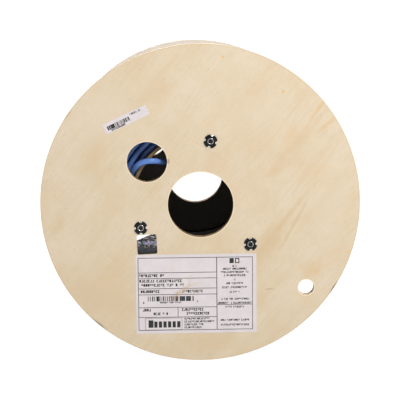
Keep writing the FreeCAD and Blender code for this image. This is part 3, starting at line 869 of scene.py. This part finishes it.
class REEL_OT_tee_nuts(bpy.types.Operator):
    """Three pronged tee nuts in the front board"""

    bl_idname = "reel.tee_nuts"
    bl_label = "Tee nuts"

    def execute(self, context):
        black = plated_metal("Black zinc", (0.018, 0.019, 0.020), 0.9, 0.24, 0.42)
        # Painted highlight: the prongs' light metal stands in for the glints at their bends.
        bright = plated_metal("Prong glint zinc", (0.66, 0.65, 0.62), 0.9, 0.20, 0.38)
        worn = plated_metal("Worn zinc", (0.40, 0.40, 0.39), 1.0, 0.12, 0.26)
        for number, (place, turn) in enumerate(zip(NUT_PLACES, NUT_TURNS), start=1):
            nut = make_tee_nut("lobed_nut_%d" % number, 3.03 * MM, black, bright, worn)
            stand(nut, place.x, FRONT_FACE, place.z, math.radians(turn))
            wear(nut, "black_zinc", "tee_nut_%d" % number)
        return {"FINISHED"}


def make_bolt(name, shank_end, seat, plating, oiled):
    """Hex bolt with a chamfered head and a threaded end."""
    flats, height, shank = 10 * MM, 4 * MM, 3 * MM
    head = disc(name, flats / 2 / math.cos(math.radians(30)), -seat - height, -seat, vertices=6)
    chamfer = fix_place(primitive("cone", "chamfer", vertices=64, radius1=flats * 0.47,
                                  radius2=flats * 1.2, depth=height * 1.6,
                                  location=(0, 0, -seat - height * 0.2)))
    combine(head, chamfer, "INTERSECT")
    break_edges(head, 0.18 * MM)
    head.data.materials.append(plating)
    rod = disc("rod", shank, -seat - 0.5 * MM, -shank_end, vertices=32)
    rod.data.materials.append(oiled)
    pitch, thread_length = 1.0 * MM, 20 * MM
    turns = int(thread_length / pitch)
    rings = []
    for turn in range(turns):
        ring = fix_place(primitive("torus", "thread", major_segments=24, minor_segments=6,
                                   major_radius=2.55 * MM, minor_radius=0.42 * MM,
                                   location=(0, 0, -shank_end - (turn + 0.5) * pitch)))
        ring.data.materials.append(oiled)
        rings.append(ring)
    return smooth(join(name, [head, rod, *rings]), 35)


class REEL_OT_tie_bolts(bpy.types.Operator):
    """Three tie bolts and their washers, headed on the rear board"""

    bl_idname = "reel.tie_bolts"
    bl_label = "Tie bolts"

    def execute(self, context):
        zinc = plated_metal("Yellow zinc", (0.46, 0.40, 0.27), 0.9, 0.28, 0.5, (0.20, 0.12, 0.06))
        oiled = plated_metal("Oiled thread", (0.050, 0.034, 0.022), 0.7, 0.35, 0.55)
        washer_zinc = plated_metal("Washer zinc", (0.50, 0.49, 0.46), 0.9, 0.25, 0.45,
                                   (0.24, 0.20, 0.15))
        for number, place in enumerate(NUT_PLACES, start=1):
            shank_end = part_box("tie_bolt_%d" % number)[0].y
            washer_low, washer_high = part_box("bolt_washer_%d" % number)
            under, seat = washer_low.y, washer_high.y
            bolt = make_bolt("hex_bolt_%d" % number, shank_end, seat, zinc, oiled)
            stand(bolt, place.x, 0, place.z, math.radians(17 * number))
            wear(bolt, "bolt_steel", "tie_bolt_%d" % number)
            washer = disc("flat_washer_%d" % number, WASHER_RADIUS, -seat, -under, vertices=64)
            combine(washer, disc("bore", BOLT_HOLE_RADIUS, -seat - MM, -under + MM, vertices=48))
            break_edges(washer, 0.3 * MM, 3)
            stand(smooth(washer), place.x, 0, place.z)
            settle(washer, washer_zinc, "bolt_steel", "bolt_washer_%d" % number)
        return {"FINISHED"}


# ---------------------------------------------------------------- cable


LOOSE_LAYERS = 3
FIRST_TURNS, FULL_TURNS = 38.0, 38.5


def layer_radius(sizes, number):
    """Centre line radius of a layer: the first ones lie loose, the rest fill the pack evenly."""
    inner = TUBE_RADIUS + sizes.cable_diameter / 2
    loose = inner + min(number - 1, LOOSE_LAYERS - 1) * sizes.loose_pitch
    tight = (PACK_RADIUS - sizes.cable_diameter / 2 - loose) / (sizes.layer_count - LOOSE_LAYERS)
    return loose + max(number - LOOSE_LAYERS, 0) * tight


def winding_plan(sizes):
    """Each layer of the one cable: turns, axial start and end, and start angle."""
    half = sizes.cable_diameter / 2
    near, far = INNER_FRONT + half, INNER_REAR - half
    first = TAIL_ROUTE[0]
    angle = math.atan2(first[2], first[0])
    plan = []
    y = FRONT_FACE + first[1] * MM
    for number in range(1, sizes.layer_count + 1):
        end = far if number % 2 else near
        turns = FIRST_TURNS if number == 1 else FULL_TURNS
        if number == sizes.layer_count:
            end = OUTER_END_Y
            whole = math.floor(abs(end - y) / sizes.cable_diameter) - 1
            turns = whole + ((OUTER_END_ANGLE - angle) / (2 * math.pi)) % 1
        plan.append((number, turns, y, end, angle))
        angle += turns * 2 * math.pi
        y = end
    return plan


def layer_points(sizes, number, turns, start, end, angle, per_turn):
    """Centre line of one layer: near parallel turns that step across once each time round."""
    radius = layer_radius(sizes, number)
    below = layer_radius(sizes, max(number - 1, 1))
    step = (end - start) / turns
    count = int(turns * per_turn)
    points = []
    for index in range(count + 1):
        turn = turns * index / count
        fade = min(1.0, turn, turns - turn)
        shuffle = 0.8 * math.sin(2 * math.pi * turn) / (2 * math.pi) * fade
        y = start + step * (turn + shuffle)
        climb = min(1.0, turn / 0.22)
        reach = below + (radius - below) * climb * climb * (3 - 2 * climb)
        reach += 0.30 * MM * noise.noise(Vector((turn * 2.3, number * 7.7, 0))) * fade
        a = angle + 2 * math.pi * turn
        points.append((reach * math.cos(a), y, reach * math.sin(a)))
    return points


class REEL_OT_winding(bpy.types.Operator):
    """The wound cable, one piece for each layer"""

    bl_idname = "reel.winding"
    bl_label = "Winding"

    def execute(self, context):
        sizes, colours = finishes(context)
        # The layers take a darker, greyer copy of the jacket: partly dust, partly painted shade
        # over the winding.
        jacket = cable_jacket("Shaded blue jacket", colours, (0.92, 0.82, 0.80))
        for number, turns, start, end, angle in winding_plan(sizes):
            shown = number >= sizes.layer_count - 1
            half_shown = number <= LOOSE_LAYERS
            per_turn, sides = (96, 12) if shown else (72, 10) if half_shown else (48, 8)
            points = layer_points(sizes, number, turns, start, end, angle, per_turn)
            layer = tube_along("cable_layer_%02d" % number, points, sizes.cable_diameter / 2,
                               sides)
            settle(layer, jacket, "cable_jacket", "cable_winding")
        return {"FINISHED"}


def make_cores(name, end, direction, materials):
    """Four twisted pairs of insulated cores that stand out of a cut end, with bare tips."""
    pair_circle, pair_half = 1.55 * MM, 0.5 * MM
    cover_radius, copper_radius = 0.48 * MM, 0.27 * MM
    frame_turn = direction.to_track_quat("Z", "Y").to_matrix().to_4x4()
    place = Matrix.Translation(end) @ frame_turn
    pieces = []
    for pair in range(4):
        centre_angle = math.radians(45 + 90 * pair)
        centre = Vector((math.cos(centre_angle), math.sin(centre_angle), 0)) * pair_circle
        for side in (0, 1):
            points = []
            for step in range(9):
                up = (-1.2 + step * 0.65) * MM
                a = centre_angle + math.pi * side + step * 0.22
                offset = Vector((math.cos(a), math.sin(a), 0)) * pair_half
                points.append(place @ (centre + offset + Vector((0, 0, up))))
            cover = tube_along("cover", points[:7], cover_radius, 12)
            cover.data.materials.append(materials[pair] if side == 0 else materials[4])
            tip = tube_along("tip", points[5:], copper_radius, 8)
            tip.data.materials.append(materials[5])
            pieces += [cover, tip]
    return join(name, pieces)


def core_materials():
    """Insulation of the four pairs, of their pale mates, and bare copper."""
    shades = {"Blue": (0.04, 0.14, 0.52), "Orange": (0.72, 0.22, 0.03), "Green": (0.04, 0.34, 0.10),
              "Brown": (0.20, 0.09, 0.04), "White": (0.74, 0.73, 0.70)}
    covers = [plain_plastic(name + " core", shade, 0.35) for name, shade in shades.items()]
    return covers + [plated_metal("Copper core", (0.80, 0.36, 0.20), 1.0, 0.2, 0.35)]


class REEL_OT_outer_end(bpy.types.Operator):
    """Last stretch of the outer layer, with its cut end"""

    bl_idname = "reel.outer_end"
    bl_label = "Outer end"

    def execute(self, context):
        sizes, colours = finishes(context)
        radius = layer_radius(sizes, sizes.layer_count)
        sweep, steps = math.radians(45), 24
        points = []
        for index in range(steps + 1):
            a = OUTER_END_ANGLE + sweep * index / steps
            points.append(Vector((radius * math.cos(a), OUTER_END_Y, radius * math.sin(a))))
        run = tube_along("outer_end_run", points, sizes.cable_diameter / 2, 16)
        jacket = cable_jacket("Outer end jacket", colours)
        settle(run, jacket, "cable_jacket", "cable_outer_end")
        direction = (points[-1] - points[-2]).normalized()
        cores = make_cores("outer_end_pairs", points[-1], direction, core_materials())
        wear(cores, "copper", "outer_end_cores")
        return {"FINISHED"}


class REEL_OT_tail(bpy.types.Operator):
    """Free inner end of the cable, out through the start hole and back into the drum"""

    bl_idname = "reel.tail"
    bl_label = "Cable tail"

    def execute(self, context):
        sizes, colours = finishes(context)
        route = [Vector((x * MM, FRONT_FACE + depth * MM, z * MM)) for x, depth, z in TAIL_ROUTE]
        tail, line = round_curve("inner_tail", "NURBS", route, sizes.cable_diameter / 2, 8)
        tail.data.resolution_u = 16
        line.order_u = 3
        line.use_endpoint_u = True
        # The tail takes a lighter copy of the jacket: painted light.
        jacket = cable_jacket("Lit tail jacket", colours, (1.15, 1.1, 1.05))
        settle(tail, jacket, "cable_jacket", "cable_tail")
        direction = (route[-1] - route[-2]).normalized()
        cores = make_cores("inner_end_pairs", route[-1], direction, core_materials())
        wear(cores, "copper", "inner_end_cores")
        return {"FINISHED"}


class REEL_OT_end_tape(bpy.types.Operator):
    """Strip of crepe tape over the outer turns"""

    bl_idname = "reel.end_tape"
    bl_label = "End tape"

    def execute(self, context):
        sizes, _ = finishes(context)
        tape = primitive("grid", "crepe_strip", x_subdivisions=56, y_subdivisions=96, size=1)
        start, sweep = math.radians(120), math.radians(26)
        low, high = TAPE_BOX[0].y, TAPE_BOX[1].y
        for vertex in tape.data.vertices:
            along, across = vertex.co.x + 0.5, vertex.co.y + 0.5
            y = low + (high - low) * across
            torn = 1.2 * MM / PACK_RADIUS * noise.noise(Vector((y * 900, round(along), 0)))
            a = start + sweep * along + (torn if along in (0, 1) else 0)
            sag = 0.9 * MM * math.sin(math.pi * (y - OUTER_END_Y) / sizes.cable_diameter) ** 2
            lift = 0.35 * MM * noise.noise(Vector((a * 30, y * 400, 2)))
            reach = PACK_RADIUS + 0.1 * MM - sag + lift * (1 - abs(2 * along - 1))
            vertex.co = (reach * math.cos(a), y, reach * math.sin(a))
        only(tape)
        bpy.ops.object.mode_set(mode="EDIT")
        bpy.ops.mesh.select_all(action="SELECT")
        bpy.ops.mesh.normals_make_consistent(inside=False)
        bpy.ops.object.mode_set(mode="OBJECT")
        apply_modifier(tape, "SOLIDIFY", thickness=0.16 * MM)
        settle(smooth(tape, 50), crepe_tape(), "tape", "end_tape")
        return {"FINISHED"}


# ---------------------------------------------------------------- labels

LABEL_WIDTH, LABEL_HEIGHT = 152.4 * MM, 101.6 * MM
LABEL_TILT = math.radians(0.5)
STRIP_WIDTH, STRIP_HEIGHT = 59 * MM, 13 * MM
STRIP_TILT = math.radians(25.4)
SEAL_SIDE = 24.8 * MM
SEAL_TILT = math.radians(3)
PAPER_THICKNESS = 0.15 * MM
FILM_THICKNESS = 0.12 * MM
INK_THICKNESS = 0.03 * MM
PRINT_TOP = 0.2 * MM  # height of the top of the printing over the board
# Scuffs on the large label, in millimetres and degrees: x and y from its top left, lean, length,
# width, shade and strength.
SCUFFS = (
    (47, 56.5, 10, 12, 7, (0.16, 0.12, 0.09), 0.9),
    (54, 50, 35, 16, 5, (0.42, 0.29, 0.16), 0.9),
    (63, 45, 50, 14, 4, (0.50, 0.36, 0.20), 0.8),
    (73, 39, 15, 16, 2.5, (0.55, 0.42, 0.27), 0.7),
    (68, 35, 75, 14, 2, (0.55, 0.42, 0.27), 0.7),
    (60, 42, 100, 12, 2, (0.55, 0.42, 0.27), 0.6),
    (76, 47, 5, 12, 2, (0.55, 0.42, 0.27), 0.6),
    (45, 22, 60, 8, 3, (0.60, 0.48, 0.35), 0.5),
    (128, 12, 20, 8, 1.6, (0.55, 0.38, 0.18), 0.6),
)


def stamp(name, marks):
    """Flat print: each mark is left, top, width and height from a sheet's middle, in metres."""
    print_obj = primitive("plane", name, size=1, location=(0, 0, 0))
    bpy.ops.object.mode_set(mode="EDIT")
    for _ in marks[1:]:
        bpy.ops.mesh.primitive_plane_add(size=1, location=(0, 0, 0))
    bpy.ops.object.mode_set(mode="OBJECT")
    for index, vertex in enumerate(print_obj.data.vertices):
        left, top, width, tall = marks[index // 4]
        across, down = vertex.co.x + 0.5, 0.5 - vertex.co.y
        vertex.co = (left + width * across, top - tall * down, PRINT_TOP)
    return apply_modifier(print_obj, "SOLIDIFY", thickness=INK_THICKNESS)


def paper_sheet(name, width, height, thickness, cuts, corner=0.0):
    """Thin sheet in the front view with fine waviness and lightly lifted corners."""
    paper = primitive("grid", name, x_subdivisions=cuts, y_subdivisions=cuts, size=1)
    for vertex in paper.data.vertices:
        across, up = vertex.co.x * 2, vertex.co.y * 2
        lift = 0.10 * MM * max(0.0, abs(across * up) - 0.86) / 0.14
        x, y = vertex.co.x * width, vertex.co.y * height
        if corner:
            reach_x, reach_y = width / 2 - corner, height / 2 - corner
            over = Vector((max(0, abs(x) - reach_x), max(0, abs(y) - reach_y)))
            if over.length > corner:
                over = over.normalized() * corner
                x = math.copysign(reach_x + over.x, x)
                y = math.copysign(reach_y + over.y, y)
        ripple = 0.02 * MM * noise.noise(Vector((x * 60, y * 60, 1)))
        vertex.co = (x, y, thickness + ripple + lift)
    return smooth(apply_modifier(paper, "SOLIDIFY", thickness=thickness), 50)


def text_row(dice, left, top, width, tall, letters, gap=0.20):
    """Stand-in for a line of type: random upright and level strokes that spell nothing."""
    marks, cell = [], width / letters
    for index in range(letters):
        if dice.random() < 0.08:
            continue
        full = cell * (1 - gap)
        stroke = full * 0.5
        x = left + index * cell
        shape = dice.randrange(4)
        if shape in (0, 1):
            marks.append((x, top, stroke, tall))
        if shape in (1, 2):
            marks.append((x + full - stroke, top, stroke, tall))
        if shape in (0, 3):
            marks.append((x, top, full, tall * 0.26))
        if shape in (1, 3):
            marks.append((x, top - tall * 0.4, full, tall * 0.26))
        if shape in (2, 0):
            marks.append((x, top - tall * 0.8, full, tall * 0.26))
    return marks


def bar_code(dice, left, top, width, tall, bars):
    """Row of upright bars of uneven width."""
    marks, cell = [], width / bars
    for index in range(bars):
        marks.append((left + index * cell, top, cell * dice.choice((0.32, 0.55, 0.95)), tall))
    return marks


def outline_marks(left, top, width, tall, line):
    """Four strokes round a box."""
    return [(left, top, width, line), (left, top - tall + line, width, line),
            (left, top, line, tall), (left + width - line, top, line, tall)]


def shipping_print():
    """Ruled form with stand-in type, a bar code and a plain block mark."""
    dice = random.Random(11)
    marks = []
    line = 0.7 * MM

    def at(x, y):
        """A place in millimetres from the label's top left, as metres from its middle."""
        return x * MM - LABEL_WIDTH / 2, LABEL_HEIGHT / 2 - y * MM

    left, top = at(2.9, 3.9)
    marks += outline_marks(left, top, 144.8 * MM, 93.8 * MM, line)
    divider, _ = at(101.8, 0)
    marks.append((divider, top, 0.9 * MM, 93.8 * MM))
    for y in (22.8, 30.2, 43.3, 51.0, 67.6, 80.2):
        marks.append((*at(2.9, y), 98.9 * MM, line))
    marks.append((*at(101.8, 64.8), 45.9 * MM, line))
    marks.append((*at(52.6, 67.6), line, 12.6 * MM))
    # Left aligned rows: x, y, width, height and number of letters.
    rows = [(4.2, 25.0, 32, 3.4, 12), (4.6, 32.0, 54, 3.3, 20), (4.2, 37.4, 57, 3.3, 21),
            (6.2, 45.6, 24, 3.3, 9), (58, 45.6, 27, 3.3, 11), (8.5, 69.4, 10.5, 3.3, 4),
            (22, 74.4, 18.5, 3.3, 8), (58, 69.2, 27.5, 3.3, 11), (64, 74.4, 28.5, 3.3, 12),
            (61, 81.6, 32, 2.3, 17), (61, 85.4, 38, 2.3, 20), (61, 89.2, 24, 2.3, 13),
            (61, 93.0, 22, 2.3, 12), (30.5, 60.6, 27, 1.9, 16), (9, 60.2, 2, 2.6, 1),
            (77, 59.6, 1.8, 2.0, 1)]
    for x, y, width, tall, letters in rows:
        marks += text_row(dice, *at(x, y), width * MM, tall * MM, letters)
    # Rows centred in the right column: y, width and number of letters.
    centred = [(14.6, 5.5, 4), (18.0, 30.5, 17), (22.2, 35.0, 20), (26.4, 27.5, 15),
               (32.0, 2.2, 2), (36.6, 22.0, 12), (41.8, 31.5, 18), (47.8, 12.8, 8),
               (56.8, 37.5, 22), (61.9, 43.0, 26), (67.0, 23.5, 14), (84.0, 36.5, 22),
               (90.2, 36.0, 21)]
    for y, width, letters in centred:
        marks += text_row(dice, *at(124.8 - width / 2, y), width * MM, 2.3 * MM, letters)
    marks += bar_code(dice, *at(15.0, 53.6), 59 * MM, 6.3 * MM, 22)
    # Generic mark: one tall and six low solid blocks in a frame.
    marks += outline_marks(*at(11.2, 81.6), 46.8 * MM, 15.6 * MM, 0.4 * MM)
    marks.append((*at(15.4, 84.4), 6.2 * MM, 9.6 * MM))
    for index in range(6):
        x = 22.6 + index * 5.8
        marks.append((*at(x, 86.0), 4.1 * MM, 8.0 * MM))
    marks.append((*at(118.4, 5.6), 5.4 * MM, 6.4 * MM))
    marks += outline_marks(*at(125.4, 5.6), 5.4 * MM, 6.4 * MM, 1.2 * MM)
    return marks


class REEL_OT_shipping_label(bpy.types.Operator):
    """Large printed label on the front board"""

    bl_idname = "reel.shipping_label"
    bl_label = "Shipping label"

    def execute(self, context):
        _, colours = finishes(context)
        place = middle("shipping_label")
        left, top = place.x - LABEL_WIDTH / 2, place.z + LABEL_HEIGHT / 2
        scuffs = [((left + x * MM, top - y * MM), math.radians(lean), length * MM, width * MM,
                   shade, strength) for x, y, lean, length, width, shade, strength in SCUFFS]
        sheet = paper_sheet("ruled_label", LABEL_WIDTH, LABEL_HEIGHT, PAPER_THICKNESS, 60)
        stand(sheet, place.x, FRONT_FACE, place.z, LABEL_TILT)
        paper = label_paper("Ruled label paper", colours, scuffs)
        settle(sheet, paper, "label_paper", "shipping_label")
        print_obj = stamp("ruled_label_print", shipping_print())
        stand(print_obj, place.x, FRONT_FACE, place.z, LABEL_TILT)
        settle(print_obj, printing_ink(colours, scuffs), "label_paper")
        return {"FINISHED"}


class REEL_OT_serial_label(bpy.types.Operator):
    """Narrow slanted label with a bar code"""

    bl_idname = "reel.serial_label"
    bl_label = "Serial label"

    def execute(self, context):
        _, colours = finishes(context)
        place = middle("serial_label")
        sheet = paper_sheet("strip_label", STRIP_WIDTH, STRIP_HEIGHT, PAPER_THICKNESS, 90)
        crease_start = Vector((20 * MM, 6.5 * MM))
        crease = Vector((9 * MM, -9 * MM)).normalized()
        for vertex in sheet.data.vertices:
            off = abs(crease.cross(vertex.co.xy - crease_start))
            vertex.co.z += 0.3 * MM * math.exp(-(off / (0.8 * MM)) ** 2)
        stand(sheet, place.x, FRONT_FACE, place.z, STRIP_TILT)
        settle(sheet, label_paper("Strip label paper", colours), "label_paper", "serial_label")
        dice = random.Random(5)
        marks = bar_code(dice, -25.5 * MM, 2.3 * MM, 30.7 * MM, 5.2 * MM, 26)
        marks += text_row(dice, -21.6 * MM, -3.2 * MM, 18.7 * MM, 2.3 * MM, 12)
        marks += text_row(dice, 7.0 * MM, 4.9 * MM, 15.5 * MM, 2.3 * MM, 10)
        print_obj = stamp("strip_label_print", marks)
        stand(print_obj, place.x, FRONT_FACE, place.z, STRIP_TILT)
        settle(print_obj, bpy.data.materials["Label ink"], "label_paper")
        return {"FINISHED"}


class REEL_OT_security_seal(bpy.types.Operator):
    """Metallised film seal"""

    bl_idname = "reel.security_seal"
    bl_label = "Security seal"

    def execute(self, context):
        place = middle("security_seal")
        sheet = paper_sheet("film_seal", SEAL_SIDE, SEAL_SIDE, FILM_THICKNESS, 40, corner=2 * MM)
        stand(sheet, place.x, FRONT_FACE, place.z, SEAL_TILT)
        settle(sheet, seal_film(place), "seal_film", "security_seal")
        return {"FINISHED"}


# ---------------------------------------------------------------- stage

CAMERA_TARGET = Vector((-0.81 * MM, FRONT_FACE, 5.95 * MM))
CAMERA_DISTANCE = 1.5435
CAMERA_ELEVATION = math.radians(8.25)
CAMERA_AZIMUTH = math.radians(-1.56)
CAMERA_LENS = 111.14
SENSOR_WIDTH = 36
SKY_STRENGTH = 0.36
# Disc lights: name, place, target, diameter and watts.
LIGHTS = (
    ("key", (0.8, -1.2, 1.4), (0, FRONT_FACE, 0), 0.5, 31),
    ("top", (-0.1, 0.5, 2.2), (0, 0, 0), 1.2, 78),
)


def add_light(name, place, target, size, watts):
    data = bpy.data.lights.new(name, "AREA")
    data.shape = "DISK"
    data.size = size
    data.energy = watts
    light = bpy.data.objects.new(name, data)
    bpy.context.collection.objects.link(light)
    light.location = place
    light.rotation_euler = (Vector(target) - Vector(place)).to_track_quat("-Z", "Y").to_euler()


class REEL_OT_stage(bpy.types.Operator):
    """Camera, soft studio light and a pale floor"""

    bl_idname = "reel.stage"
    bl_label = "Studio stage"

    def execute(self, context):
        sizes, _ = finishes(context)
        back = Vector((math.sin(CAMERA_AZIMUTH) * math.cos(CAMERA_ELEVATION),
                       -math.cos(CAMERA_AZIMUTH) * math.cos(CAMERA_ELEVATION),
                       math.sin(CAMERA_ELEVATION)))
        data = bpy.data.cameras.new("studio_camera")
        data.lens = CAMERA_LENS
        data.sensor_width = SENSOR_WIDTH
        camera = bpy.data.objects.new("studio_camera", data)
        context.collection.objects.link(camera)
        camera.location = CAMERA_TARGET + back * CAMERA_DISTANCE
        camera.rotation_euler = (-back).to_track_quat("-Z", "Y").to_euler()
        context.scene.camera = camera

        world = bpy.data.worlds.new("studio_world")
        world.use_nodes = True
        sky = world.node_tree.nodes["Background"]
        sky.inputs["Color"].default_value = (1, 1, 1, 1)
        sky.inputs["Strength"].default_value = SKY_STRENGTH
        context.scene.world = world
        context.scene.view_settings.view_transform = "Standard"
        context.scene.view_settings.look = "None"

        for light in LIGHTS:
            add_light(*light)

        width = sizes.floor_size
        floor = fix_place(primitive("plane", "studio_floor", size=width,
                                    location=(0, 0, CAD_BOX[0].z)))
        backdrop = fix_place(primitive("plane", "studio_backdrop", size=width,
                                       location=(0, width / 2, 0),
                                       rotation=(math.radians(90), 0, 0)))
        pale = Finish("Light table")
        mottle = pale.noise(pale.coords, 3, 2)
        grey = pale.mix(mottle, (0.10, 0.10, 0.10), (0.12, 0.12, 0.12))
        pale.set(Base_Color=grey, Roughness=0.8, Emission_Color=(1, 1, 1), Emission_Strength=0.95)
        # Plain white surround that only the camera sees, so it adds no light of its own.
        surround = fix_place(primitive("cylinder", "studio_surround", vertices=64,
                                       radius=0.45 * width, depth=width,
                                       end_fill_type="NOTHING"))
        for ray in ("diffuse", "glossy", "transmission", "shadow", "volume_scatter"):
            setattr(surround, "visible_" + ray, False)
        for screen in (floor, backdrop, surround):
            screen.data.materials.append(pale.material)
        return {"FINISHED"}


# ---------------------------------------------------------------- add-on

STEPS = (REEL_OT_stage, REEL_OT_tail, REEL_OT_front_board, REEL_OT_rear_board, REEL_OT_drum_tube,
         REEL_OT_tee_nuts, REEL_OT_tie_bolts, REEL_OT_winding, REEL_OT_outer_end, REEL_OT_end_tape,
         REEL_OT_shipping_label, REEL_OT_serial_label, REEL_OT_security_seal)


class REEL_PT_panel(bpy.types.Panel):
    """Sizes, colours and steps of the reel"""

    bl_idname = "REEL_PT_panel"
    bl_label = "Cable Reel"
    bl_space_type = "VIEW_3D"
    bl_region_type = "UI"
    bl_category = "Cable Reel"

    def draw(self, context):
        for group in finishes(context):
            for name in group.__annotations__:
                self.layout.prop(group, name)
        for step in STEPS:
            self.layout.operator(step.bl_idname)


CLASSES = (ReelSizes, ReelColours, *STEPS, REEL_PT_panel)


def register():
    for cls in CLASSES:
        bpy.utils.register_class(cls)
    bpy.types.Scene.reel_sizes = bpy.props.PointerProperty(type=ReelSizes)
    bpy.types.Scene.reel_colours = bpy.props.PointerProperty(type=ReelColours)


def unregister():
    del bpy.types.Scene.reel_colours
    del bpy.types.Scene.reel_sizes
    for cls in reversed(CLASSES):
        bpy.utils.unregister_class(cls)


def main():
    register()
    for step in STEPS:
        getattr(bpy.ops.reel, step.bl_idname.split(".")[1])()


if __name__ == "__main__":
    main()
